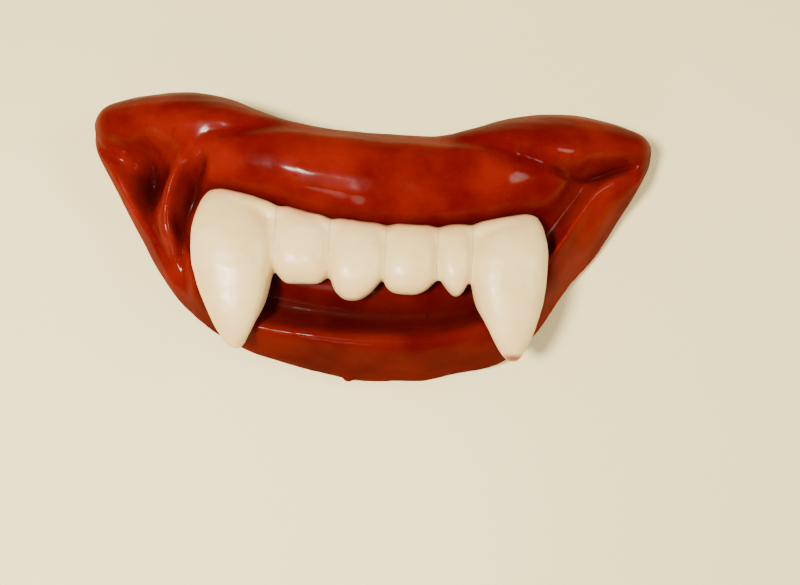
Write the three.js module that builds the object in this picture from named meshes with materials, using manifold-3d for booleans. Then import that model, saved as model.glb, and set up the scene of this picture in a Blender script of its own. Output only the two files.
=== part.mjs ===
// A novelty vampire fang denture: a hollow red wax mouth with two long white fangs and four incisors.
// It lies on its back. X runs from corner to corner, Y from the chin side to the nose side, and Z
// from the table up to the front of the mouth. All sizes are in millimetres.
import * as THREE from "three";
import { mergeVertices } from "three/addons/utils/BufferGeometryUtils.js";
import Module from "manifold-3d";

const wasm = await Module();
wasm.setup();

// The mouth's outline, measured from the point where the two halves of the lips balance.
const HALF_WIDTH = 41;
const UPPER_REACH = 20.7;
const LOWER_REACH = 19.7;
const CORNER_ROUND = 3.2;
const CORNER_BLUNT = 0.2;

// Heights above the table, in the middle of the mouth and at its corners.
const CREST_HEIGHT = 20;
const CREST_CORNER_HEIGHT = 9.6;
const SEAT_HEIGHT = 12.4;
const SEAT_CORNER_HEIGHT = 5.8;
const PIT_HEIGHT = 8.8;
const PIT_CORNER_HEIGHT = 5.6;
const RIDGE_HEIGHT = 13.6;
const RIDGE_CORNER_HEIGHT = 7.8;

// How slowly the front bends back towards the corners, and the fold between the upper lip and the gum.
const FACE_CURVE = 2.2;
const FOLD_DEPTH = 1.5;
const FOLD_WIDTH = 1.1;

// The back edge lifts off the table between the places where it stands.
const TOP_EDGE_LIFT = 6;
const TOP_EDGE_SPAN = 33;
const SIDE_EDGE_LIFT = 3;
const CHIN_PAD_HALF = 8;
const SIDE_EDGE_END = 36;

// The wax shell and the tab that the wearer bites.
const WALL = 3.1;
const TAB_WIDTH = 30;
const TAB_THICKNESS = 4.5;
const TAB_END_ROUND = 3;
const TAB_ROOT_SHARE = 0.4;
const TAB_FLAT_SHARE = 0.62;
const TAB_FLARE = 1;
const NIB_X = -1.6;
const NIB_RADIUS = 0.9;
const NIB_REACH = 1.1;
const NIB_HEIGHT = 2.6;
const NIB_SINK = 0.25;

// The teeth. Widths run across the mouth, and lengths from the root to the tip.
const FANG_WIDTH = 11;
const FANG_LENGTH = 20;
const FANG_PROUD = 6.3;
const FANG_THICKNESS = 5.2;
const INCISOR_WIDTH = 7;
const INCISOR_LENGTH = 10;
const INCISOR_PROUD = 4.7;
const INCISOR_THICKNESS = 4.4;
const TOOTH_ROW_SHIFT = 0.9;
const TOOTH_GAP = 0.3;
const TOOTH_MIN_THICKNESS = 1.6;
const TIP_THICKNESS_SHARE = 0.4;
const SEAT_CLEARANCE = 0.4;
const SEAT_REACH = 0.8;
const GUM_CLEARANCE = 0.5;

// How round the upper lip's two slopes and the lower lip's outer face are.
const TOP_SLOPE_POWER = 2.3;
const UNDER_SLOPE_POWER = 2;
const OUTER_FACE_POWER = 1.7;

// Where the crest, the end of the tooth seat and the bottom of the pit lie between their neighbours.
const CREST_SHARE = 0.43;
const SEAT_END_SHARE = 0.5;
const PIT_SHARE = 0.8;

// One row for each section across the mouth, from the left corner to the right one.
// x is a share of HALF_WIDTH. top, fold and gum are shares of UPPER_REACH: the upper lip's outline, the
// fold between the lip and the gum, and the line where the gum meets the teeth. inner and bottom are
// shares of LOWER_REACH: the lower lip's inner ridge and its outline. swell is the upper lip's
// fullness, and crease the depth of the fold as a share of FOLD_DEPTH.
const SECTIONS = [
  { x: -1.0, top: 0.87, fold: 0.7, gum: 0.69, inner: 0.65, bottom: 0.56, swell: 0.9, crease: 0 },
  { x: -0.92, top: 0.94, fold: 0.53, gum: 0.51, inner: 0.47, bottom: 0.33, swell: 0.95, crease: 0 },
  { x: -0.78, top: 0.99, fold: 0.45, gum: 0.43, inner: 0.34, bottom: -0.17, swell: 1.0, crease: 0.4 },
  { x: -0.65, top: 1.0, fold: 0.46, gum: 0.36, inner: -0.06, bottom: -0.51, swell: 1.02, crease: 1 },
  { x: -0.51, top: 0.96, fold: 0.555, gum: 0.2, inner: -0.5, bottom: -0.735, swell: 1.0, crease: 0.85 },
  { x: -0.38, top: 0.85, fold: 0.575, gum: 0.15, inner: -0.69, bottom: -0.84, swell: 0.97, crease: 0.65 },
  { x: -0.25, top: 0.755, fold: 0.62, gum: 0.08, inner: -0.73, bottom: -0.91, swell: 0.95, crease: 0.45 },
  { x: -0.11, top: 0.72, fold: 0.61, gum: 0.03, inner: -0.75, bottom: -0.97, swell: 0.93, crease: 0.4 },
  { x: 0.03, top: 0.705, fold: 0.6, gum: 0.01, inner: -0.76, bottom: -1.0, swell: 0.92, crease: 0.4 },
  { x: 0.21, top: 0.7, fold: 0.58, gum: 0.01, inner: -0.74, bottom: -0.99, swell: 0.92, crease: 0.45 },
  { x: 0.34, top: 0.79, fold: 0.56, gum: 0.04, inner: -0.68, bottom: -0.92, swell: 0.96, crease: 0.6 },
  { x: 0.48, top: 0.91, fold: 0.5, gum: 0.1, inner: -0.54, bottom: -0.86, swell: 1.0, crease: 0.85 },
  { x: 0.61, top: 0.97, fold: 0.45, gum: 0.17, inner: -0.13, bottom: -0.62, swell: 1.0, crease: 1 },
  { x: 0.72, top: 0.985, fold: 0.385, gum: 0.3, inner: 0.22, bottom: -0.25, swell: 0.98, crease: 0.7 },
  { x: 0.83, top: 0.96, fold: 0.46, gum: 0.42, inner: 0.39, bottom: 0.03, swell: 0.95, crease: 0.3 },
  { x: 0.92, top: 0.91, fold: 0.53, gum: 0.51, inner: 0.49, bottom: 0.36, swell: 0.92, crease: 0 },
  { x: 1.0, top: 0.88, fold: 0.69, gum: 0.68, inner: 0.67, bottom: 0.6, swell: 0.88, crease: 0 },
];

// One row for each tooth, from the left. width and length are shares of the tooth's form, lean is how
// far the tip leans to the right, and edge how wide the biting edge is, as shares of its own width.
const TEETH = [
  { name: "fang_left", form: "fang", width: 1.033, length: 1.0, lean: 0.11, edge: 0.1 },
  { name: "incisor_left_outer", form: "incisor", width: 1.037, length: 0.87, lean: 0.03, edge: 0.62 },
  { name: "incisor_left_inner", form: "incisor", width: 1.077, length: 0.96, lean: -0.06, edge: 0.34 },
  { name: "incisor_right_inner", form: "incisor", width: 0.984, length: 0.84, lean: -0.1, edge: 0.44 },
  { name: "incisor_right_outer", form: "incisor", width: 0.656, length: 0.87, lean: 0.09, edge: 0.2 },
  { name: "fang_right", form: "fang", width: 0.932, length: 0.925, lean: 0.1, edge: 0.12 },
];

// Half-width and fullness along a tooth, from its root (0) to its tip (1), as shares.
const FORMS = {
  fang: [
    { along: 0, width: 0.52, full: 0.62 },
    { along: 0.05, width: 0.74, full: 0.72 },
    { along: 0.13, width: 0.91, full: 0.87 },
    { along: 0.28, width: 1, full: 1 },
    { along: 0.44, width: 0.96, full: 0.98 },
    { along: 0.6, width: 0.83, full: 0.9 },
    { along: 0.77, width: 0.55, full: 0.77 },
    { along: 0.9, width: 0.29, full: 0.62 },
    { along: 0.97, width: 0.11, full: 0.5 },
    { along: 1, width: 0, full: 0.4 },
  ],
  incisor: [
    { along: 0, width: 0.9, full: 0.66 },
    { along: 0.08, width: 0.97, full: 0.84 },
    { along: 0.22, width: 1, full: 0.96 },
    { along: 0.45, width: 1, full: 1 },
    { along: 0.68, width: 1, full: 0.98 },
    { along: 0.82, width: 0.93, full: 0.9 },
    { along: 0.93, width: 0.6, full: 0.72 },
    { along: 1, width: 0, full: 0.5 },
  ],
};
const TOOTH_SIZES = {
  fang: { width: FANG_WIDTH, length: FANG_LENGTH, proud: FANG_PROUD, thickness: FANG_THICKNESS },
  incisor: {
    width: INCISOR_WIDTH,
    length: INCISOR_LENGTH,
    proud: INCISOR_PROUD,
    thickness: INCISOR_THICKNESS,
  },
};
const SIDE_SHARE = { fang: 0.3, incisor: 0.5 };
const TOOTH_SECTIONS = { fang: 14, incisor: 10 };
const TIP_DRIFT_POWER = 2;
const FRONT_POINTS = 10;
const BACK_POINTS = 8;
const ARCH_POWER = 2.6;

// How finely the mouth's outside and its hollow are divided.
const STATIONS = 52;
const STATION_CROWDING = 0.9;
const FRONT_STEPS = { lip: 9, gum: 9, seat: 2, pit: 3, rise: 4, outerFace: 6 };
const HOLLOW_STEPS = 14;
const SLOPE_REACH = 0.5;
const MARGIN_LIMIT = 0.42;
const PROBE_REACHES = [0.5, 0.8, 0.95, 1];
const PROBE_DIRECTIONS = 16;
const TAB_STEPS = 12;
const TAB_ARC_STEPS = 5;
const NIB_SIDES = 12;
const NIB_RINGS = 8;
const MERGE_DISTANCE = 1e-4;

const clamp = (value, low, high) => Math.min(high, Math.max(low, value));
const mix = (a, b, share) => a + (b - a) * share;
const smooth = (share) => share * share * (3 - 2 * share);
const arch = (share, power) => Math.pow(Math.max(0, 1 - Math.pow(share, power)), 1 / power);

// A smooth curve through one column of a table, with no overshoot between rows.
function tableValue(rows, key, column, at) {
  const place = clamp(at, rows[0][key], rows[rows.length - 1][key]);
  let i = rows.findIndex((row, n) => n < rows.length - 1 && place <= rows[n + 1][key]);
  i = Math.max(0, i);
  const slope = (n) => (rows[n + 1][column] - rows[n][column]) / (rows[n + 1][key] - rows[n][key]);
  const tangent = (n) => {
    if (n === 0) return slope(0);
    if (n === rows.length - 1) return slope(n - 1);
    const [before, after] = [slope(n - 1), slope(n)];
    return before * after <= 0 ? 0 : (2 * before * after) / (before + after);
  };
  const span = rows[i + 1][key] - rows[i][key];
  const t = (place - rows[i][key]) / span;
  const [t2, t3] = [t * t, t * t * t];
  return (
    (2 * t3 - 3 * t2 + 1) * rows[i][column] +
    (t3 - 2 * t2 + t) * span * tangent(i) +
    (3 * t2 - 2 * t3) * rows[i + 1][column] +
    (t3 - t2) * span * tangent(i + 1)
  );
}

// The height of the mouth's back edge at the nose side and at the chin side.
function topEdgeHeight(x) {
  const share = 1 - (x / TOP_EDGE_SPAN) ** 2;
  return TOP_EDGE_LIFT * Math.max(0, share) ** 2;
}

function bottomEdgeHeight(x) {
  const share = clamp((Math.abs(x) - CHIN_PAD_HALF) / (SIDE_EDGE_END - CHIN_PAD_HALF), 0, 1);
  return SIDE_EDGE_LIFT * Math.sin(Math.PI * share) ** 2;
}

const SECTION_LINES = ["top", "crest", "fold", "gum", "seatEnd", "pit", "inner", "bottom"];
const SECTION_HEIGHTS = ["topZ", "crestZ", "seatZ", "pitZ", "innerZ", "bottomZ"];

// The section of the mouth's front at x: where each of its lines lies in Y, and how high it is.
function makeSection(x) {
  const column = (name) => tableValue(SECTIONS, "x", name, x / HALF_WIDTH);
  const toCorner = Math.pow(Math.abs(x) / HALF_WIDTH, FACE_CURVE);
  const top = column("top") * UPPER_REACH;
  const gum = column("gum") * UPPER_REACH;
  const inner = column("inner") * LOWER_REACH;
  const bottom = column("bottom") * LOWER_REACH;
  const seatZ = mix(SEAT_HEIGHT, SEAT_CORNER_HEIGHT, toCorner);
  const fullCrestZ = mix(CREST_HEIGHT, CREST_CORNER_HEIGHT, toCorner);
  const section = {
    top,
    crest: mix(gum, top, CREST_SHARE),
    fold: column("fold") * UPPER_REACH,
    gum,
    seatEnd: mix(gum, inner, SEAT_END_SHARE),
    pit: mix(gum, inner, PIT_SHARE),
    inner,
    bottom,
    topZ: topEdgeHeight(x),
    crestZ: mix(seatZ, fullCrestZ, column("swell")),
    seatZ,
    pitZ: mix(PIT_HEIGHT, PIT_CORNER_HEIGHT, toCorner),
    innerZ: mix(RIDGE_HEIGHT, RIDGE_CORNER_HEIGHT, toCorner),
    bottomZ: bottomEdgeHeight(x),
    foldDepth: FOLD_DEPTH * column("crease"),
  };
  const pastRound = (Math.abs(x) - (HALF_WIDTH - CORNER_ROUND)) / CORNER_ROUND;
  if (pastRound > 0) {
    const keep = Math.max(arch(Math.min(1, pastRound), 2), CORNER_BLUNT);
    const [middleY, middleZ] = [(top + bottom) / 2, section.crestZ / 2];
    for (const name of SECTION_LINES) section[name] = mix(middleY, section[name], keep);
    for (const name of SECTION_HEIGHTS) section[name] = mix(middleZ, section[name], keep);
  }
  return section;
}

const sections = new Map();
function sectionAt(x) {
  const key = x.toFixed(4);
  if (!sections.has(key)) sections.set(key, makeSection(clamp(x, -HALF_WIDTH, HALF_WIDTH)));
  return sections.get(key);
}

// The height of the mouth's back plane at a point.
function backHeight(section, y) {
  const share = clamp((y - section.bottom) / (section.top - section.bottom), 0, 1);
  return mix(section.bottomZ, section.topZ, share);
}

// The height of the front surface without its fold, and with it.
function plainHeight(at, y) {
  if (y > at.crest) {
    const share = (y - at.crest) / (at.top - at.crest);
    return mix(at.topZ, at.crestZ, arch(share, TOP_SLOPE_POWER));
  }
  if (y > at.gum) {
    const share = (at.crest - y) / (at.crest - at.gum);
    return mix(at.seatZ, at.crestZ, arch(share, UNDER_SLOPE_POWER));
  }
  if (y > at.seatEnd) return at.seatZ;
  if (y > at.pit) return mix(at.seatZ, at.pitZ, smooth((at.seatEnd - y) / (at.seatEnd - at.pit)));
  if (y > at.inner) return mix(at.pitZ, at.innerZ, smooth((at.pit - y) / (at.pit - at.inner)));
  return mix(at.bottomZ, at.innerZ, arch((at.inner - y) / (at.inner - at.bottom), OUTER_FACE_POWER));
}

function frontHeight(x, y) {
  const at = sectionAt(x);
  if (y >= at.top || y <= at.bottom || Math.abs(x) >= HALF_WIDTH) return backHeight(at, y);
  return plainHeight(at, y) - at.foldDepth * Math.exp(-(((y - at.fold) / FOLD_WIDTH) ** 2));
}

// The height of the hollow's surface: the front surface moved back by the wall's thickness.
function hollowHeight(x, y) {
  let height = frontHeight(x, y) - WALL;
  for (const reach of PROBE_REACHES) {
    const drop = WALL * Math.sqrt(1 - reach ** 2);
    for (let i = 0; i < PROBE_DIRECTIONS; i++) {
      const angle = (2 * Math.PI * i) / PROBE_DIRECTIONS;
      const [probeX, probeY] = [x + WALL * reach * Math.cos(angle), y + WALL * reach * Math.sin(angle)];
      height = Math.min(height, frontHeight(probeX, probeY) - drop);
    }
  }
  return Math.max(height, backHeight(sectionAt(x), y));
}

// A closed body through rings of points, with a fan over each end. The rings turn
// anticlockwise about the direction in which they follow each other.
function loft(rings) {
  const count = rings[0].length;
  const points = rings.flat();
  const index = [];
  for (let r = 0; r + 1 < rings.length; r++) {
    for (let i = 0; i < count; i++) {
      const [a, b] = [r * count + i, r * count + ((i + 1) % count)];
      index.push(a, b, a + count, b, b + count, a + count);
    }
  }
  for (const [r, turned] of [[0, true], [rings.length - 1, false]]) {
    const middle = new THREE.Vector3();
    for (const point of rings[r]) middle.addScaledVector(point, 1 / count);
    const centre = points.push(middle) - 1;
    for (let i = 0; i < count; i++) {
      const [a, b] = [r * count + i, r * count + ((i + 1) % count)];
      index.push(centre, turned ? b : a, turned ? a : b);
    }
  }
  const geometry = new THREE.BufferGeometry().setFromPoints(points);
  geometry.setIndex(index);
  return geometry;
}

// Steps from 0 to 1 that crowd towards both ends.
const crowded = (i, count) => (1 - Math.cos((Math.PI * i) / count)) / 2;

// The Y of each point of a section's front, from the nose side to the chin side.
function frontLines(at) {
  const steps = FRONT_STEPS;
  const quarter = (i, count) => Math.sin(((Math.PI / 2) * i) / count);
  const lines = [];
  for (let i = 0; i < steps.lip; i++) lines.push(mix(at.top, at.fold, crowded(i, steps.lip)));
  for (let i = 0; i < steps.gum; i++) lines.push(mix(at.fold, at.gum, crowded(i, steps.gum)));
  for (let i = 0; i < steps.seat; i++) lines.push(mix(at.gum, at.seatEnd, i / steps.seat));
  for (let i = 0; i < steps.pit; i++) lines.push(mix(at.seatEnd, at.pit, i / steps.pit));
  for (let i = 0; i < steps.rise; i++) lines.push(mix(at.pit, at.inner, i / steps.rise));
  for (let i = 0; i <= steps.outerFace; i++) {
    lines.push(mix(at.inner, at.bottom, quarter(i, steps.outerFace)));
  }
  return lines;
}

// How far in Y the hollow's edge lies from the outline, so that the wall is as thick square to it.
function edgeMargin(x, line) {
  const rise = sectionAt(x + SLOPE_REACH)[line] - sectionAt(x - SLOPE_REACH)[line];
  return WALL * Math.hypot(1, rise / (2 * SLOPE_REACH));
}

function mouthRing(x) {
  const at = sectionAt(x);
  const ring = frontLines(at).map((y) => new THREE.Vector3(x, y, frontHeight(x, y)));
  ring[0].z = at.topZ;
  ring[ring.length - 1].z = at.bottomZ;
  const most = (at.top - at.bottom) * MARGIN_LIMIT;
  const hollowLow = at.bottom + Math.min(edgeMargin(x, "bottom"), most);
  const hollowHigh = at.top - Math.min(edgeMargin(x, "top"), most);
  for (let i = 0; i <= HOLLOW_STEPS; i++) {
    const y = mix(hollowLow, hollowHigh, crowded(i, HOLLOW_STEPS));
    const edge = i === 0 || i === HOLLOW_STEPS;
    ring.push(new THREE.Vector3(x, y, edge ? backHeight(at, y) : hollowHeight(x, y)));
  }
  return ring;
}

function mouthShell() {
  const reach = (Math.PI / 2) * STATION_CROWDING;
  const rings = [];
  for (let i = 0; i <= STATIONS; i++) {
    const share = (2 * i) / STATIONS - 1;
    rings.push(mouthRing((HALF_WIDTH * Math.sin(share * reach)) / Math.sin(reach)));
  }
  return loft(rings);
}

// The flat tab that the wearer bites. It grows out of the wall behind the upper teeth, and widens
// where it meets the wall.
function biteTab() {
  const lowFace = sectionAt(0).seatEnd;
  const highFace = lowFace + TAB_THICKNESS;
  const rootHeight = (x) =>
    Math.min(frontHeight(x, lowFace), frontHeight(x, highFace)) - WALL * TAB_ROOT_SHARE;
  const half = TAB_WIDTH / 2;
  const flatHeight = rootHeight(half) * TAB_FLAT_SHARE;
  const ring = (halfWidth, spread, heightAt) => {
    const face = (y, direction) =>
      Array.from({ length: TAB_STEPS + 1 }, (_, i) => {
        const x = direction * halfWidth * ((2 * i) / TAB_STEPS - 1);
        return new THREE.Vector3(x, y, heightAt(x));
      });
    return [...face(lowFace - spread, 1), ...face(highFace + spread, -1)];
  };
  const rings = [];
  for (let i = 0; i <= TAB_ARC_STEPS; i++) {
    const angle = ((Math.PI / 2) * i) / TAB_ARC_STEPS;
    const halfWidth = half - TAB_END_ROUND * (1 - Math.sin(angle));
    rings.push(ring(halfWidth, 0, () => TAB_END_ROUND * (1 - Math.cos(angle))));
  }
  rings.push(ring(half, 0, () => flatHeight));
  rings.push(ring(half, TAB_FLARE / 4, (x) => (flatHeight + rootHeight(x)) / 2));
  rings.push(ring(half, TAB_FLARE, rootHeight));
  return loft(rings);
}

// The small nib where the wax was poured, on the chin side.
function pourNib() {
  const geometry = new THREE.SphereGeometry(NIB_RADIUS, NIB_SIDES, NIB_RINGS);
  geometry.scale(1, NIB_REACH / NIB_RADIUS, 1);
  geometry.translate(NIB_X, sectionAt(NIB_X).bottom + NIB_SINK, NIB_HEIGHT);
  return geometry;
}

function toSolid(geometry) {
  const bare = geometry.clone();
  bare.deleteAttribute("normal");
  bare.deleteAttribute("uv");
  const merged = mergeVertices(bare, MERGE_DISTANCE);
  const mesh = new wasm.Mesh({
    numProp: 3,
    vertProperties: new Float32Array(merged.attributes.position.array),
    triVerts: new Uint32Array(merged.index.array),
  });
  return new wasm.Manifold(mesh);
}

function toGeometry(solid) {
  const mesh = solid.getMesh();
  const geometry = new THREE.BufferGeometry();
  geometry.setAttribute("position", new THREE.BufferAttribute(mesh.vertProperties, 3));
  geometry.setIndex(new THREE.BufferAttribute(mesh.triVerts, 1));
  geometry.computeVertexNormals();
  return geometry;
}

function lips() {
  const solid = toSolid(mouthShell()).add(toSolid(biteTab())).add(toSolid(pourNib()));
  return toGeometry(solid);
}

// The highest that the mouth's front comes just above or below a point of a tooth.
function highestNear(x, y) {
  return Math.max(frontHeight(x, y - SEAT_REACH), frontHeight(x, y), frontHeight(x, y + SEAT_REACH));
}

// The teeth with the places where each starts and ends, laid side by side from the left.
function toothRow() {
  const widths = TEETH.map((tooth) => tooth.width * TOOTH_SIZES[tooth.form].width);
  let place = TOOTH_ROW_SHIFT - widths.reduce((sum, width) => sum + width) / 2;
  return TEETH.map((tooth, i) => {
    const [left, right] = [place + TOOTH_GAP / 2, place + widths[i] - TOOTH_GAP / 2];
    place += widths[i];
    return { ...tooth, left, right };
  });
}

// One ring round a tooth, at a share of the way from its root to its tip.
function toothRing(tooth, along) {
  const size = TOOTH_SIZES[tooth.form];
  const form = (column) => tableValue(FORMS[tooth.form], "along", column, along);
  const rootX = (tooth.left + tooth.right) / 2;
  const width = mix(tooth.edge, 1, form("width"));
  const half = ((tooth.right - tooth.left) / 2) * width;
  const room = (tooth.right - tooth.left) / 2 - half;
  const lean = clamp(tooth.lean * (tooth.right - tooth.left), -room, room);
  const middleX = rootX + lean * Math.pow(along, TIP_DRIFT_POWER);
  const tipY = sectionAt(rootX).gum - GUM_CLEARANCE - tooth.length * size.length;
  const lineY = (x) => mix(sectionAt(x).gum - GUM_CLEARANCE, tipY, along);
  const proudZ = sectionAt(rootX).seatZ + size.proud * form("full");
  const freeZ = proudZ - size.thickness * mix(TIP_THICKNESS_SHARE, 1, width);
  const backZ = (x) => Math.max(highestNear(x, lineY(x)) + SEAT_CLEARANCE, freeZ);
  const ring = [];
  for (let i = 0; i <= FRONT_POINTS; i++) {
    const across = Math.cos((Math.PI * i) / FRONT_POINTS);
    const x = middleX + half * across;
    const back = backZ(x);
    const front = Math.max(proudZ, back + TOOTH_MIN_THICKNESS);
    const side = mix(back, front, SIDE_SHARE[tooth.form]);
    ring.push(new THREE.Vector3(x, lineY(x), mix(side, front, arch(Math.abs(across), ARCH_POWER))));
  }
  for (let i = 0; i <= BACK_POINTS; i++) {
    const x = middleX + half * ((2 * i) / BACK_POINTS - 1);
    ring.push(new THREE.Vector3(x, lineY(x), backZ(x)));
  }
  return ring;
}

function toothBody(tooth) {
  const count = TOOTH_SECTIONS[tooth.form];
  const rings = [];
  for (let i = 0; i <= count; i++) rings.push(toothRing(tooth, crowded(i, count)));
  return loft(rings);
}

const redWax = new THREE.MeshStandardMaterial({ color: 0xa01a10, roughness: 0.34, metalness: 0 });
const whiteWax = new THREE.MeshStandardMaterial({ color: 0xe9dfc9, roughness: 0.42, metalness: 0 });

function named(name, geometry, material) {
  const mesh = new THREE.Mesh(geometry, material);
  mesh.name = name;
  return mesh;
}

const denture = new THREE.Group();
denture.add(named("lips", lips(), redWax));
for (const tooth of toothRow()) denture.add(named(tooth.name, toothBody(tooth), whiteWax));

// The origin is under the middle of the denture, on the table.
const extent = new THREE.Box3().setFromObject(denture);
const middle = extent.getCenter(new THREE.Vector3());
denture.position.set(-middle.x, -middle.y, -extent.min.z);

export default denture;
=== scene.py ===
"""The look of a novelty vampire fang denture: a red wax mouth with white wax teeth, lying on its back."""

import math

import bmesh
import bpy
import numpy as np
from mathutils import Matrix, Vector, noise


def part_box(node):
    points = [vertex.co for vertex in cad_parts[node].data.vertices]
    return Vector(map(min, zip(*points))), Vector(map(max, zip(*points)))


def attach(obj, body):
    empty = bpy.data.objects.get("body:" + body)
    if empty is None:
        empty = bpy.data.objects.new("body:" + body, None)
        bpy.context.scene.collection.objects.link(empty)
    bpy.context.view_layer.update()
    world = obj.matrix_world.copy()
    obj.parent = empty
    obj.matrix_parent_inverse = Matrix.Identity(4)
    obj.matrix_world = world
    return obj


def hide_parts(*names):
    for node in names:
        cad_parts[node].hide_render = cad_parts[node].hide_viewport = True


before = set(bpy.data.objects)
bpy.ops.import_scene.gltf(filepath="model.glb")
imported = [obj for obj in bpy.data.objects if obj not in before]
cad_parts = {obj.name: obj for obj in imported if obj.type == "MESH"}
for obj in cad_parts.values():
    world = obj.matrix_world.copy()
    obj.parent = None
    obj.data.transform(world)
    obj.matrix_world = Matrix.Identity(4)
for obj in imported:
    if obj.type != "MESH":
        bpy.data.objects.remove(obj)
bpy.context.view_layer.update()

MM = 0.001

# The mouth lies with its back on the floor. Places on it are shares of its half width and half height.
LIPS_LOW, LIPS_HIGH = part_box("lips")
HALF_WIDTH = (LIPS_HIGH.x - LIPS_LOW.x) / 2
HALF_HEIGHT = (LIPS_HIGH.y - LIPS_LOW.y) / 2
TEETH = ["fang_left", "incisor_left_outer", "incisor_left_inner",
         "incisor_right_inner", "incisor_right_outer", "fang_right"]

# How fine the cast surfaces are, and how much their corners melt.
LIP_GRAIN = 0.36 * MM
TOOTH_GRAIN = 0.22 * MM
WELD = 0.002 * MM
RELAX_SHARE = 0.5
LIP_MELT = 7
TOOTH_MELT = 13
TOOTH_BACK_MELT = 45
TOOTH_BACK = 4.0 * MM
MARK_MELT = 3
BULGE_MELT = 30
LIP_BULGE = 0.45 * MM
TOOTH_BULGE = 0.3 * MM

# The white band: how far the teeth swell to meet, and how far their roots sink into the gum.
TOOTH_SWELL = 0.2 * MM
ROOT_REACH = 3.0 * MM
ROOT_RISE = 1.3 * MM
ROOT_SINK = 0.7 * MM
GUM_PLACES = (0.3, 0.7)
GUM_PLACE_REACH = 0.12
GUM_TUCK = 3.2 * MM
GUM_TUCK_LENGTH = 1.6 * MM
GUM_LIFT = 0.3 * MM
GUM_NOTCH = 0.35 * MM
GUM_NOTCH_WIDTH = 0.9 * MM
GUM_EDGE_REACH = (-1.1 * MM, 0.3 * MM)
ROOT_BAR_RADIUS = 1.7 * MM
ROOT_BAR_DROP = 1.2 * MM
ROOT_BAR_SINK = 0.75 * MM
ROOT_BAR_STEPS = 12
ROOT_BAR_FACETS = (16, 10)
WEB_FACETS = (24, 16)
WEB_WIDTH = 1.7 * MM
WEB_LENGTH_SHARE = 0.42
WEB_DROP_SHARE = 0.42
WEB_DEPTH_SHARE = 0.3
WEB_PLACE_SHARE = 0.5
CUT_GAP = 0.008 * MM

# Two incisors narrow to a point: how far across it lies, and how much the tooth is drawn in to it.
POINTED = {"incisor_left_inner": (0.45, 0.25), "incisor_right_outer": (0.66, 0.36)}
POINT_LENGTH = 4.5 * MM

# How far the tints of the roots and the tips reach, and the red wax at the right fang's tip.
ROOT_TINT_LENGTH = 3.2 * MM
TIP_TINT_LENGTH = 3.5 * MM
TINT_MARGIN = 0.3 * MM
FLASH_LENGTH = 1.0 * MM
FLASH_FULL_SHARE = 0.25


def read_floats(items, name, width):
    """One property of all a mesh's items as rows of numbers."""
    values = np.empty(len(items) * width, np.float64)
    items.foreach_get(name, values)
    return values.reshape(-1, width)


def ease(low, high, values):
    """0 below low, 1 above high, and a smooth rise between them."""
    share = np.clip((values - low) / (high - low), 0, 1)
    return share * share * (3 - 2 * share)


def cloud(points, size, seed):
    """Soft unevenness from -1 to 1, with lumps about as wide as size."""
    shift = Vector((seed * 7.3, seed * 3.1, seed * 5.7))
    return np.array([noise.noise(Vector(point) / size + shift) for point in points])


def lumps(points, table):
    """How far the uneven wax stands out at each point."""
    return sum(lump["height"] * cloud(points, lump["size"], lump["seed"]) for lump in table)


def curve_through(path, count):
    """Points along a smooth curve through the given ones."""
    ends = [2 * path[0] - path[1], *path, 2 * path[-1] - path[-2]]
    made = []
    for at in np.linspace(0, len(path) - 1.0001, count):
        i, t = int(at), at % 1
        a, b, c, d = ends[i:i + 4]
        made.append(0.5 * (2 * b + (c - a) * t + (2 * a - 5 * b + 4 * c - d) * t ** 2
                           + (3 * b - a - 3 * c + d) * t ** 3))
    return np.array(made)


class WaxBody:
    """The points of one wax piece while it is being shaped."""

    def __init__(self, mesh):
        self.mesh = mesh
        self.points = read_floats(mesh.vertices, "co", 3)
        edges = np.empty(len(mesh.edges) * 2, np.int32)
        mesh.edges.foreach_get("vertices", edges)
        self.starts, self.ends = edges.reshape(-1, 2).T
        self.neighbours = np.bincount(edges, minlength=len(self.points))[:, None]

    def melted(self, values, rounds):
        """The same rows of numbers, each drawn towards its neighbours a few times."""
        count = len(values)
        for _ in range(rounds):
            total = np.stack([
                np.bincount(self.starts, column[self.ends], count)
                + np.bincount(self.ends, column[self.starts], count)
                for column in values.T
            ], 1)
            values = values + RELAX_SHARE * (total / self.neighbours - values)
        return values

    def settle(self):
        """Writes the points to the mesh."""
        self.mesh.vertices.foreach_set("co", self.points.ravel())
        self.mesh.update()

    def normals(self):
        self.settle()
        return read_floats(self.mesh.vertices, "normal", 3)

    def bulge(self, rounds, size):
        """How much each point stands out (up to 1) or lies in a dip (down to -1)."""
        away = self.points - self.melted(self.points, rounds)
        return np.clip((away * self.normals()).sum(1) / size, -1, 1)

    def keep(self, name, values):
        """Keeps a number for each point that the wax's finish reads."""
        layer = self.mesh.attributes.new(name, "FLOAT", "POINT")
        layer.data.foreach_set("value", values.astype(np.float32))


def mesh_from(bm, name):
    mesh = bpy.data.meshes.new(name)
    bm.to_mesh(mesh)
    bm.free()
    return mesh


def cast(name, mesh, grain):
    """Fuses closed shapes that overlap into one body with an even, fine surface."""
    pattern = bpy.data.objects.new(name + "_pattern", mesh)
    bpy.context.scene.collection.objects.link(pattern)
    remesh = pattern.modifiers.new("cast", "REMESH")
    remesh.mode = "VOXEL"
    remesh.voxel_size = grain
    ready = pattern.evaluated_get(bpy.context.evaluated_depsgraph_get())
    fused = bpy.data.meshes.new_from_object(ready)
    fused.name = name
    bpy.data.objects.remove(pattern)
    return WaxBody(fused)


def show(name, mesh, material, nodes):
    """Puts a finished piece in the scene, in the place of the solids that it stands for."""
    piece = bpy.data.objects.new(name, mesh)
    bpy.context.scene.collection.objects.link(piece)
    mesh.materials.clear()
    mesh.materials.append(material)
    mesh.polygons.foreach_set("use_smooth", [True] * len(mesh.polygons))
    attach(piece, "root")
    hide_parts(*nodes)


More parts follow.
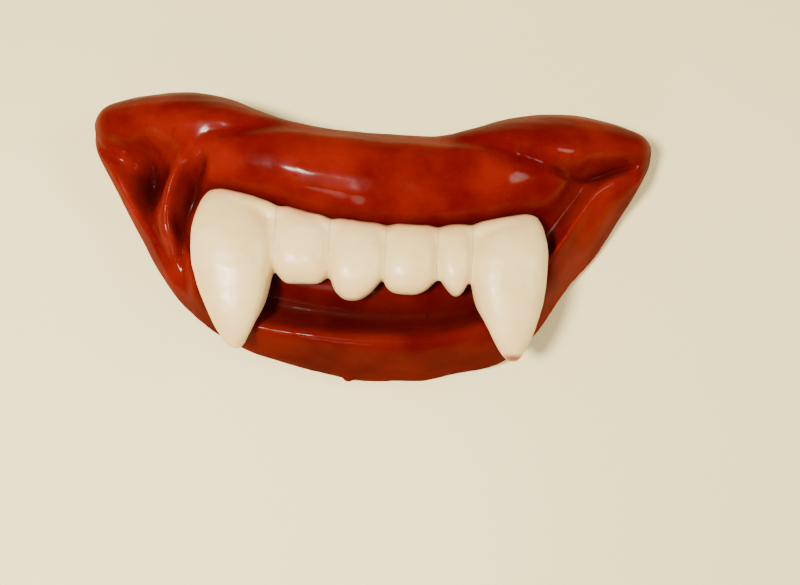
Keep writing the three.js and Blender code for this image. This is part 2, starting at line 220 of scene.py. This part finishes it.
# Ridges and creases of the mouth, pressed in this order. Each point of a path is its x, y and z in shares
# of the mouth's half width, half height and depth, then the stroke's half width in millimetres.
LIP_MARKS = [
    {"name": "left outer band",
     "path": [(-0.94, 0.53, 0.45, 0.9), (-0.888, 0.39, 0.49, 1.2), (-0.821, 0.207, 0.495, 1.4),
              (-0.752, 0.007, 0.48, 1.4), (-0.695, -0.184, 0.47, 1.4), (-0.65, -0.344, 0.44, 1.2),
              (-0.62, -0.43, 0.40, 1.0)]},
    {"name": "pit at the left corner",
     "path": [(-0.94, 0.565, 0.47, 0.9), (-0.865, 0.49, 0.48, 1.2), (-0.82, 0.46, 0.42, 1.6),
              (-0.77, 0.41, 0.32, 2.6), (-0.765, 0.30, 0.26, 2.4), (-0.758, 0.19, 0.28, 2.0),
              (-0.745, 0.07, 0.37, 1.6), (-0.725, -0.05, 0.48, 1.1)]},
    {"name": "groove along the left fang",
     "path": [(-0.535, 0.42, 0.77, 0.8), (-0.545, 0.35, 0.68, 1.0), (-0.585, 0.22, 0.52, 1.3),
              (-0.617, 0.06, 0.46, 1.2), (-0.623, -0.11, 0.46, 1.0), (-0.612, -0.27, 0.46, 1.0),
              (-0.588, -0.46, 0.42, 1.0)]},
    {"name": "ridge beside the left fang",
     "path": [(-0.535, 0.60, 0.87, 1.2), (-0.575, 0.52, 0.84, 1.4), (-0.61, 0.42, 0.79, 1.5),
              (-0.65, 0.26, 0.71, 1.5), (-0.67, 0.09, 0.65, 1.4), (-0.663, -0.06, 0.615, 1.2),
              (-0.64, -0.17, 0.59, 1.0)]},
    {"name": "right outer band",
     "path": [(0.94, 0.535, 0.46, 1.0), (0.905, 0.485, 0.49, 1.4), (0.86, 0.43, 0.53, 1.7),
              (0.81, 0.36, 0.56, 1.8), (0.77, 0.27, 0.57, 1.5)]},
    {"name": "right corner crease",
     "path": [(0.955, 0.62, 0.43, 0.9), (0.858, 0.55, 0.41, 1.2), (0.785, 0.485, 0.43, 1.4),
              (0.735, 0.445, 0.50, 1.2), (0.675, 0.435, 0.63, 1.0), (0.60, 0.45, 0.74, 0.8)]},
    {"name": "hollow beside the right fang",
     "path": [(0.775, 0.46, 0.46, 1.2), (0.735, 0.375, 0.48, 1.5), (0.692, 0.236, 0.49, 1.5),
              (0.652, 0.08, 0.50, 1.2), (0.618, -0.05, 0.50, 1.0)]},
    {"name": "right inner edge",
     "path": [(0.90, 0.505, 0.51, 0.6), (0.855, 0.465, 0.55, 0.8), (0.815, 0.415, 0.575, 0.9),
              (0.775, 0.34, 0.59, 0.9), (0.742, 0.25, 0.60, 0.9), (0.69, 0.085, 0.61, 0.9),
              (0.636, -0.085, 0.62, 0.9), (0.603, -0.19, 0.61, 0.7)]},
]
STROKE_POINTS = 60
STROKE_FADE = 0.35
WALL_LEFT = 2.0 * MM

# Between which slopes a face counts as one that looks up or down. 1 looks straight up.
MARKED_FRONT = (-0.4, 0.3)
MARKED_BACK = (0.2, 0.6)
SWOLLEN_FRONT = (0.1, 0.5)
SUNK_FRONT = (-0.6, -0.1)
STEEP_SIDE = (0.15, 0.6)
TOOTH_BEHIND = (-0.1, 0.7)

# The lower lip and the corners are rounder than the rest. They melt further, between these places.
SOFT_MELT = 60
SOFT_LOWER_FROM = (4.5 * MM, 8.0 * MM)
SOFT_CORNER_FROM = (19.0 * MM, 24.0 * MM)
SOFT_CORNER_TO = (8.0 * MM, 11.0 * MM)
SOFT_DEPTH = (2.0 * MM, 5.0 * MM)

# The cast wax is never quite even: wide lumps, smaller ones, and a rough trimmed edge at the back.
LUMPS = [
    {"size": 13 * MM, "height": 0.30 * MM, "seed": 1},
    {"size": 5 * MM, "height": 0.11 * MM, "seed": 2},
    {"size": 1.8 * MM, "height": 0.025 * MM, "seed": 3},
]
TRIM_HEIGHT = 1.2 * MM
TRIM_LUMPS = [{"size": 2.6 * MM, "height": 0.16 * MM, "seed": 4}]
TRIM_SMOOTHING = 0.6
TOOTH_LUMPS = [
    {"size": 4 * MM, "height": 0.12 * MM, "seed": 5},
    {"size": 1.3 * MM, "height": 0.03 * MM, "seed": 6},
]
ROOT_BULGE = {"fang": 0.75 * MM, "incisor": 0.4 * MM}
ROOT_BULGE_LENGTH = 6 * MM
ROOT_BULGE_START = (-2 * MM, 1 * MM)
ROOT_BULGE_WIDTH_SHARE = 0.42

# Painted shade: the wax is painted darker where it lies below the rims around it. The grid that finds
# them has square cells.
PIT_CELL = 0.6 * MM
PIT_REACH = 11
PIT_EDGE = (0.2 * MM, 1.2 * MM)
PIT_DEPTH = (0.6 * MM, 4.5 * MM)
PIT_INSET = 4
PIT_MELT = 6

# Painted shade: the red is painted darker along the gum line, behind the teeth and over the lower lip.
MOUTH_SHADE_SHARE = 0.42
MOUTH_SHADE_OVER_GUM = (0.3 * MM, 2.8 * MM)
MOUTH_SHADE_PAST_FANGS = (-1.5 * MM, 1.5 * MM)


def gum_line(places):
    """How high the teeth reach at each place across the mouth, where the gum meets them."""
    tops = []
    for name in TEETH:
        low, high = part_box(name)
        corners = [vert.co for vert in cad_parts[name].data.vertices]
        for share in GUM_PLACES:
            place = low.x + (high.x - low.x) * share
            near = [co.y for co in corners if abs(co.x - place) < (high.x - low.x) * GUM_PLACE_REACH]
            tops.append((place, max(near)))
    return np.interp(places, *zip(*tops))


def stroke(places, path):
    """How strongly a stroke acts at each place, from 0 to 1, and the height that it gives there."""
    scale = (HALF_WIDTH, HALF_HEIGHT, LIPS_HIGH.z, MM)
    strength = np.zeros(len(places))
    height = np.zeros(len(places))
    for i, (x, y, z, width) in enumerate(curve_through(np.array(path) * scale, STROKE_POINTS)):
        fade = math.sin(math.pi * (i + 0.5) / STROKE_POINTS) ** STROKE_FADE
        here = fade * np.exp(-((places - (x, y)) ** 2).sum(1) / width ** 2)
        nearer = here > strength
        strength[nearer] = here[nearer]
        height[nearer] = z
    return strength, height


def press_marks(body):
    """Presses the ridges and creases into the front, and keeps the wall behind them whole."""
    facing = body.normals()[:, 2]
    front = ease(*MARKED_FRONT, facing)
    back = ease(*MARKED_BACK, -facing)
    for mark in LIP_MARKS:
        strength, height = stroke(body.points[:, :2], mark["path"])
        z = body.points[:, 2]
        sunk = np.minimum(height - WALL_LEFT - z, 0)
        body.points[:, 2] += strength * (front * (height - z) + back * sunk)


def root_bulges(places):
    """The soft swelling of the gum over each tooth's root."""
    lift = np.zeros(len(places))
    for name in TEETH:
        low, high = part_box(name)
        across = (places[:, 0] - (low.x + high.x) / 2) / ((high.x - low.x) * ROOT_BULGE_WIDTH_SHARE)
        along = ease(*ROOT_BULGE_START, places[:, 1] - high.y)
        along *= 1 - ease(0, ROOT_BULGE_LENGTH, places[:, 1] - high.y)
        lift += ROOT_BULGE[name.split("_")[0]] * np.exp(-across ** 2) * along
    return lift


def widest(grid, reach, choose):
    """Each cell of a grid takes the highest (or lowest) value found within a reach of cells."""
    for axis in (0, 1):
        shifted = [np.roll(grid, step, axis) for step in range(-reach, reach + 1)]
        grid = choose.reduce(shifted)
    return grid


def pit_shade(body):
    """0 on the open surface and 1 deep in a pit, a crease or the mouth behind the teeth, where shade is
    painted.
    """
    places = body.points[:, :2]
    corner = places.min(0) - 2 * PIT_REACH * PIT_CELL
    size = np.ceil((places.max(0) - corner) / PIT_CELL).astype(int) + 2 * PIT_REACH
    heights = np.zeros(size)
    cells = tuple(((places - corner) / PIT_CELL).astype(int).T)
    np.maximum.at(heights, cells, body.points[:, 2])
    rims = widest(widest(heights, PIT_REACH, np.maximum), PIT_REACH, np.minimum)
    within = widest((heights > 0) * 1.0, PIT_INSET, np.minimum)
    dips = (rims - heights) * within
    for axis in (0, 1):
        dips = (np.roll(dips, 1, axis) + dips + np.roll(dips, -1, axis)) / 3
    inside = ease(*PIT_EDGE, dips[cells]) * ease(*SUNK_FRONT, body.normals()[:, 2])
    rows = (inside * ease(*PIT_DEPTH, rims[cells] - body.points[:, 2]))[:, None]
    return body.melted(rows, PIT_MELT)[:, 0]


def painted_shade_at_mouth(places):
    """How much painted shade darkens the red in and around the mouth's opening."""
    boxes = [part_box(name) for name in TEETH]
    over_gum = places[:, 1] - gum_line(places[:, 0])
    past_fangs = np.maximum(boxes[0][0].x - places[:, 0], places[:, 0] - boxes[-1][1].x)
    return MOUTH_SHADE_SHARE * (1 - ease(*MOUTH_SHADE_OVER_GUM, over_gum)) * (1 - ease(*MOUTH_SHADE_PAST_FANGS, past_fangs))


def make_lips(material):
    bm = bmesh.new()
    bm.from_mesh(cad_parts["lips"].data)
    bmesh.ops.remove_doubles(bm, verts=bm.verts, dist=WELD)
    body = cast("wax_lips", mesh_from(bm, "lips_pattern"), LIP_GRAIN)
    body.points = body.melted(body.points, LIP_MELT)
    x, y, z = body.points.T
    corners = ease(*SOFT_CORNER_FROM, np.abs(x)) * (1 - ease(*SOFT_CORNER_TO, y))
    soft = np.maximum(ease(*SOFT_LOWER_FROM, -y), corners) * ease(*SOFT_DEPTH, z)
    body.points = body.points + soft[:, None] * (body.melted(body.points, SOFT_MELT) - body.points)

    front = ease(*SWOLLEN_FRONT, body.normals()[:, 2])
    body.points[:, 2] += front * root_bulges(body.points[:, :2])
    press_marks(body)
    body.points = body.melted(body.points, MARK_MELT)

    uneven = lumps(body.points, LUMPS)
    at_back = 1 - ease(0, TRIM_HEIGHT, body.points[:, 2])
    rough = lumps(body.points, TRIM_LUMPS)
    body.points += body.normals() * (uneven * (1 - TRIM_SMOOTHING * at_back) + rough * at_back)[:, None]
    body.points[:, 2] = np.maximum(body.points[:, 2], 0)

    body.keep("bulge", body.bulge(BULGE_MELT, LIP_BULGE))
    # The painted shade in pits, creases and around the mouth, which the red wax's finish reads.
    body.keep("sunk", 1 - (1 - pit_shade(body)) * (1 - painted_shade_at_mouth(body.points)))
    body.keep("side", 1 - ease(*STEEP_SIDE, np.abs(body.normals()[:, 2])))
    body.settle()
    show("wax_lips", body.mesh, material, ["lips"])


def tooth_pattern(name):
    """One tooth, swollen to meet its neighbours, with its root drawn into the gum."""
    bm = bmesh.new()
    bm.from_mesh(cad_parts[name].data)
    bmesh.ops.remove_doubles(bm, verts=bm.verts, dist=WELD)
    bm.normal_update()
    low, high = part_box(name)
    across, drawn = POINTED.get(name, (0.5, 0))
    point = low.x + (high.x - low.x) * across
    for vert in bm.verts:
        vert.co += vert.normal * TOOTH_SWELL
        at_root = float(ease(high.y - ROOT_REACH, high.y, vert.co.y))
        vert.co += Vector((0, ROOT_RISE, -ROOT_SINK)) * at_root
        at_point = 1 - float(ease(low.y, low.y + POINT_LENGTH, vert.co.y))
        vert.co.x += (point - vert.co.x) * drawn * at_point
    return bm


def add_web(bm, left, right):
    """The wax that fills the groove between two neighbouring teeth."""
    (left_low, left_high), (right_low, right_high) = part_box(left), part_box(right)
    top = min(left_high.y, right_high.y) + ROOT_RISE
    length = top - max(left_low.y, right_low.y)
    low_z, high_z = max(left_low.z, right_low.z), min(left_high.z, right_high.z)
    middle = Vector(((left_high.x + right_low.x) / 2, top - length * WEB_DROP_SHARE,
                     low_z + (high_z - low_z) * WEB_PLACE_SHARE))
    radii = (WEB_WIDTH, length * WEB_LENGTH_SHARE, (high_z - low_z) * WEB_DEPTH_SHARE)
    place = Matrix.Translation(middle) @ Matrix.Diagonal((*radii, 1))
    around, along = WEB_FACETS
    bmesh.ops.create_uvsphere(bm, u_segments=around, v_segments=along, radius=1, matrix=place)


def root_of(name):
    """The middle of a tooth's root, just below the front of the tooth at the gum."""
    low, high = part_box(name)
    heights = [vert.co.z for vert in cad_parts[name].data.vertices if vert.co.y > high.y - ROOT_REACH]
    return Vector(((low.x + high.x) / 2, high.y - ROOT_BAR_DROP,
                   max(heights) - ROOT_BAR_RADIUS - ROOT_BAR_SINK))


def add_root_bar(bm, left, right):
    """A bar of wax along the gum that joins two neighbouring roots."""
    start, end = root_of(left), root_of(right)
    around, along = ROOT_BAR_FACETS
    for i in range(ROOT_BAR_STEPS + 1):
        place = Matrix.Translation(start.lerp(end, i / ROOT_BAR_STEPS))
        bmesh.ops.create_uvsphere(bm, u_segments=around, v_segments=along,
                                  radius=ROOT_BAR_RADIUS, matrix=place)


def cut_tooth(band, left_cut, right_cut):
    """The part of the band between two grooves, closed where it is cut."""
    bm = bmesh.new()
    bm.from_mesh(band)
    for place, outward in ((left_cut, -1), (right_cut, 1)):
        if place is None:
            continue
        cut = bmesh.ops.bisect_plane(
            bm, geom=[*bm.verts, *bm.edges, *bm.faces], plane_co=(place - outward * CUT_GAP, 0, 0),
            plane_no=(outward, 0, 0), clear_outer=True,
        )["geom_cut"]
        rim = [item for item in cut if isinstance(item, bmesh.types.BMEdge)]
        bmesh.ops.triangle_fill(bm, edges=rim, use_beauty=True)
        for edge in rim:
            edge.smooth = False
    return bm


def cast_band():
    """All six teeth and the wax between them, fused and melted together."""
    bm = bmesh.new()
    for name in TEETH:
        pattern = mesh_from(tooth_pattern(name), name + "_pattern")
        bm.from_mesh(pattern)
        bpy.data.meshes.remove(pattern)
    for left, right in zip(TEETH, TEETH[1:]):
        add_web(bm, left, right)
        add_root_bar(bm, left, right)
    band = cast("tooth_band", mesh_from(bm, "band_pattern"), TOOTH_GRAIN)
    band.points = band.melted(band.points, TOOTH_MELT)
    boxes = [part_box(name) for name in TEETH]
    middles = [(low.x + high.x) / 2 for low, high in boxes]
    above_back = band.points[:, 2] - np.interp(band.points[:, 0], middles, [low.z for low, _ in boxes])
    at_back = 1 - ease(0, TOOTH_BACK, above_back)
    band.points += at_back[:, None] * (band.melted(band.points, TOOTH_BACK_MELT) - band.points)
    return band


def keep_tints(band, over):
    """Keeps what the white wax's finish reads: roots, tips, backs, the darker band at the gum edge and
    the red flash.
    """
    x, y, _ = band.points.T
    at_root = np.zeros(len(band.points))
    at_tip = np.zeros(len(band.points))
    for name in TEETH:
        low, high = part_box(name)
        inside = (x > low.x - TINT_MARGIN) & (x < high.x + TINT_MARGIN)
        root = ease(high.y - ROOT_TINT_LENGTH, high.y, y)
        tip = 1 - ease(low.y, low.y + TIP_TINT_LENGTH, y)
        at_root[inside] = np.maximum(at_root, root)[inside]
        at_tip[inside] = np.maximum(at_tip, tip)[inside]
    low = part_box("fang_right")[0]
    flash = 1 - ease(FLASH_FULL_SHARE * FLASH_LENGTH, FLASH_LENGTH, y - low.y)
    band.keep("bulge", band.bulge(BULGE_MELT, TOOTH_BULGE))
    band.keep("back", ease(*TOOTH_BEHIND, -band.normals()[:, 2]))
    band.keep("root", at_root)
    band.keep("tip", at_tip)
    band.keep("gum_edge", ease(*GUM_EDGE_REACH, over))
    band.keep("flash", flash * (x > low.x))


def make_teeth(material):
    band = cast_band()
    boxes = [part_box(name) for name in TEETH]
    cuts = [(left[1].x + right[0].x) / 2 for left, right in zip(boxes, boxes[1:])]
    over = band.points[:, 1] - gum_line(band.points[:, 0]) - GUM_LIFT
    for place in cuts:
        over += GUM_NOTCH * np.exp(-((band.points[:, 0] - place) / GUM_NOTCH_WIDTH) ** 2)
    band.points[:, 2] -= GUM_TUCK * ease(0, GUM_TUCK_LENGTH, over)
    uneven = lumps(band.points, TOOTH_LUMPS)
    band.points += band.normals() * uneven[:, None]
    keep_tints(band, over)
    band.settle()

    for name, left_cut, right_cut in zip(TEETH, [None, *cuts], [*cuts, None]):
        mesh = mesh_from(cut_tooth(band.mesh, left_cut, right_cut), "wax_" + name)
        show("wax_" + name, mesh, material, [name])
    bpy.data.meshes.remove(band.mesh)


class Value:
    """A shader socket that holds a number, so that sums are written as plain arithmetic."""

    def __init__(self, finish, socket):
        self.finish, self.socket = finish, socket

    def sum_of(self, operation, *parts):
        return self.finish.node("ShaderNodeMath", {"operation": operation}, dict(enumerate(parts)))

    def __add__(self, other):
        return self.sum_of("ADD", self, other)

    def __radd__(self, other):
        return self.sum_of("ADD", other, self)

    def __sub__(self, other):
        return self.sum_of("SUBTRACT", self, other)

    def __rsub__(self, other):
        return self.sum_of("SUBTRACT", other, self)

    def __mul__(self, other):
        return self.sum_of("MULTIPLY", self, other)

    def __rmul__(self, other):
        return self.sum_of("MULTIPLY", other, self)

    def between(self, low, high):
        """0 at low and 1 at high, held at both ends."""
        settings = {"interpolation_type": "SMOOTHSTEP"}
        return self.finish.node("ShaderNodeMapRange", settings,
                                {"Value": self, "From Min": low, "From Max": high})


class Finish:
    """One wax's material, made up of nodes."""

    def __init__(self, name):
        self.material = bpy.data.materials.new(name)
        self.material.use_nodes = True
        self.tree = self.material.node_tree
        self.shader = self.tree.nodes["Principled BSDF"]
        self.place = self.node("ShaderNodeTexCoord", {}, {}, "Object")

    def node(self, kind, settings, sockets, output=0):
        """A new node with its settings and sockets filled in. What comes back is one of its outputs."""
        made = self.tree.nodes.new(kind)
        for name, value in settings.items():
            setattr(made, name, value)
        for name, value in sockets.items():
            self.fill(made.inputs[name], value)
        return Value(self, made.outputs[output])

    def fill(self, socket, value):
        if isinstance(value, Value):
            self.tree.links.new(value.socket, socket)
        else:
            socket.default_value = value

    def set(self, **sockets):
        """Fills the shader's own sockets, with spaces for underscores in their names."""
        for name, value in sockets.items():
            self.fill(self.shader.inputs[name.replace("_", " ")], value)

    def point(self, name):
        """A number that the mesh holds for each point."""
        return self.node("ShaderNodeAttribute", {"attribute_name": name}, {}, "Fac")

    def noise(self, size, detail=2.0, roughness=0.5):
        """Soft noise from 0 to 1 with lumps about as wide as size."""
        sockets = {"Vector": self.place, "Scale": 1 / size, "Detail": detail, "Roughness": roughness}
        return self.node("ShaderNodeTexNoise", {}, sockets)

    def bubbles(self, size):
        """1 in small round air bubbles that broke at the surface, and 0 between them."""
        sockets = {"Vector": self.place, "Scale": 1 / size, "Randomness": 1.0}
        away = self.node("ShaderNodeTexVoronoi", {}, sockets, "Distance")
        return (1 - away.between(0.05, 0.13)) * self.noise(7 * size, 1).between(0.5, 0.6)

    def colours(self, share, first, second):
        """A mix of two colours."""
        sockets = {0: share, 6: first, 7: second}
        return self.node("ShaderNodeMix", {"data_type": "RGBA"}, sockets, 2)

    def bump(self, height, distance, under=None):
        sockets = {"Height": height, "Strength": 1.0, "Distance": distance}
        if under:
            sockets["Normal"] = under
        return self.node("ShaderNodeBump", {}, sockets)


def colour(red, green, blue):
    return (red, green, blue, 1.0)


RED_PAINTED_SHADE = colour(0.012, 0.0003, 0.0002)
RED_DIP_SHADE = colour(0.035, 0.0005, 0.0003)
RED_BODY = colour(0.080, 0.0008, 0.0003)
RED_WARM = colour(0.150, 0.005, 0.0007)
RED_BLOOM_AND_SHEEN = colour(0.24, 0.04, 0.018)
IVORY = colour(0.72, 0.50, 0.19)
IVORY_GROOVE_SHADE = colour(0.60, 0.34, 0.10)
IVORY_PALE = colour(0.79, 0.60, 0.27)
IVORY_PINK = colour(0.60, 0.19, 0.08)
IVORY_AT_GUM = colour(0.40, 0.06, 0.02)


def red_wax():
    wax = Finish("red_wax")
    broad = wax.noise(9 * MM, 3)
    patch = wax.noise(3.2 * MM, 4, 0.6)
    fine = wax.noise(0.7 * MM, 3, 0.6)
    bubble = wax.bubbles(1.7 * MM)
    bulge = wax.point("bulge")
    sunk = wax.point("sunk")
    side = wax.point("side")
    # Painted light: crests are painted lighter as a highlight, and dips darker as shade.
    crest_highlight = bulge.between(0.05, 0.75)
    dip = (0 - bulge).between(0.05, 0.8)
    base = wax.colours(broad.between(0.3, 0.7), RED_BODY, RED_WARM)
    base = wax.colours(crest_highlight * 0.45, base, RED_WARM)
    base = wax.colours(dip * 0.75, base, RED_DIP_SHADE)
    # Pale bloom in patches, painted stronger on the crests as a highlight.
    base = wax.colours(patch.between(0.52, 0.75) * (0.05 + crest_highlight * 0.16), base, RED_BLOOM_AND_SHEEN)
    # Painted shade in pits, creases and around the mouth.
    base = wax.colours(sunk * 0.9, base, RED_PAINTED_SHADE)
    wax.set(
        Base_Color=base,
        Roughness=0.3 + patch * 0.16 + fine * 0.05 + side * 0.3 + sunk * 0.2,
        Subsurface_Weight=0.3,
        Subsurface_Radius=(1.0, 0.16, 0.08),
        Subsurface_Scale=1.4 * MM,
        IOR=1.44,
        Specular_IOR_Level=0.02,
        Coat_Weight=(1 - side) * (1 - sunk * 0.95) * (0.02 + patch.between(0.35, 0.65) * 0.025),
        Coat_Roughness=0.13,
        Coat_IOR=2.2,
    )
    waves = wax.bump(wax.noise(2.4 * MM, 2), 0.10 * MM)
    grain = wax.bump(fine, 0.02 * MM, waves)
    wax.set(Normal=wax.bump(1 - bubble, 0.12 * MM, grain))
    return wax.material


def white_wax():
    wax = Finish("white_wax")
    broad = wax.noise(5 * MM, 3)
    fine = wax.noise(0.6 * MM, 3, 0.6)
    bulge = wax.point("bulge")
    groove = (0 - bulge).between(0.05, 0.7)
    base = wax.colours(broad.between(0.35, 0.7) * 0.6, IVORY, IVORY_PALE)
    # Painted shade: the grooves between the teeth are painted darker.
    base = wax.colours(groove * 0.55, base, IVORY_GROOVE_SHADE)
    root = wax.point("root")
    base = wax.colours(root.between(0.35, 1.0) * 0.22, base, IVORY_PINK)
    base = wax.colours(wax.point("tip") * 0.12, base, IVORY_PINK)
    # Darker red-brown along the top edge of the white, where it meets the gum.
    base = wax.colours(wax.point("gum_edge") * 0.45, base, IVORY_AT_GUM)
    base = wax.colours(wax.point("flash") * 0.9, base, RED_WARM)
    base = wax.colours(wax.point("back") * broad.between(0.2, 0.6) * 0.8, base, RED_WARM)
    wax.set(
        Base_Color=base,
        Roughness=0.33 + broad * 0.14 + root * 0.15,
        Subsurface_Weight=0.5,
        Subsurface_Radius=(1.0, 0.72, 0.5),
        Subsurface_Scale=1.8 * MM,
        IOR=1.44,
        Coat_Weight=0.1 - root * 0.08,
        Coat_Roughness=0.2,
    )
    waves = wax.bump(wax.noise(2.2 * MM, 2), 0.08 * MM)
    wax.set(Normal=wax.bump(fine, 0.015 * MM, waves))
    return wax.material


# The camera looks down at the mouth as the photograph does.
CAMERA_PLACE = Vector((6.40, -29.60, 131.85)) * MM
CAMERA_AIM = Vector((5.18, -6.38, 0)) * MM
CAMERA_LENS = 40.5
CAMERA_NEAR = 0.01

# The studio: a pale floor, soft light all round and three round lamps, placed in millimetres.
FLOOR_HALF = 0.6
FLOOR_COLOUR = colour(0.84, 0.70, 0.34)
FLOOR_ROUGHNESS = 0.6
WORLD_COLOUR = colour(1.0, 0.955, 0.87)
WORLD_STRENGTH = 0.45
LAMPS = [
    {"name": "key", "place": (-90, -60, 265), "size": 45, "power": 2.1},
    {"name": "fill", "place": (190, 20, 200), "size": 90, "power": 0.4},
    {"name": "front", "place": (-60, -240, 160), "size": 90, "power": 0.2},
]
LAMP_COLOUR = (1.0, 0.95, 0.86)


def aim(obj, target):
    obj.rotation_euler = (target - obj.location).to_track_quat("-Z", "Y").to_euler()


def make_studio():
    camera = bpy.data.objects.new("camera", bpy.data.cameras.new("camera"))
    bpy.context.scene.collection.objects.link(camera)
    camera.location = CAMERA_PLACE
    camera.data.lens = CAMERA_LENS
    camera.data.clip_start = CAMERA_NEAR
    aim(camera, CAMERA_AIM)
    bpy.context.scene.camera = camera

    bm = bmesh.new()
    bmesh.ops.create_grid(bm, x_segments=1, y_segments=1, size=FLOOR_HALF)
    floor = bpy.data.objects.new("floor", mesh_from(bm, "floor"))
    bpy.context.scene.collection.objects.link(floor)
    finish = Finish("floor")
    finish.set(Base_Color=FLOOR_COLOUR, Roughness=FLOOR_ROUGHNESS)
    floor.data.materials.append(finish.material)

    for lamp in LAMPS:
        data = bpy.data.lights.new(lamp["name"], "AREA")
        data.shape = "DISK"
        data.size = lamp["size"] * MM
        data.energy = lamp["power"]
        data.color = LAMP_COLOUR
        light = bpy.data.objects.new(lamp["name"], data)
        bpy.context.scene.collection.objects.link(light)
        light.location = Vector(lamp["place"]) * MM
        aim(light, Vector((0, 0, 0)))

    world = bpy.data.worlds.new("studio")
    world.use_nodes = True
    background = world.node_tree.nodes["Background"]
    background.inputs["Color"].default_value = WORLD_COLOUR
    background.inputs["Strength"].default_value = WORLD_STRENGTH
    bpy.context.scene.world = world


make_studio()
make_lips(red_wax())
make_teeth(white_wax())
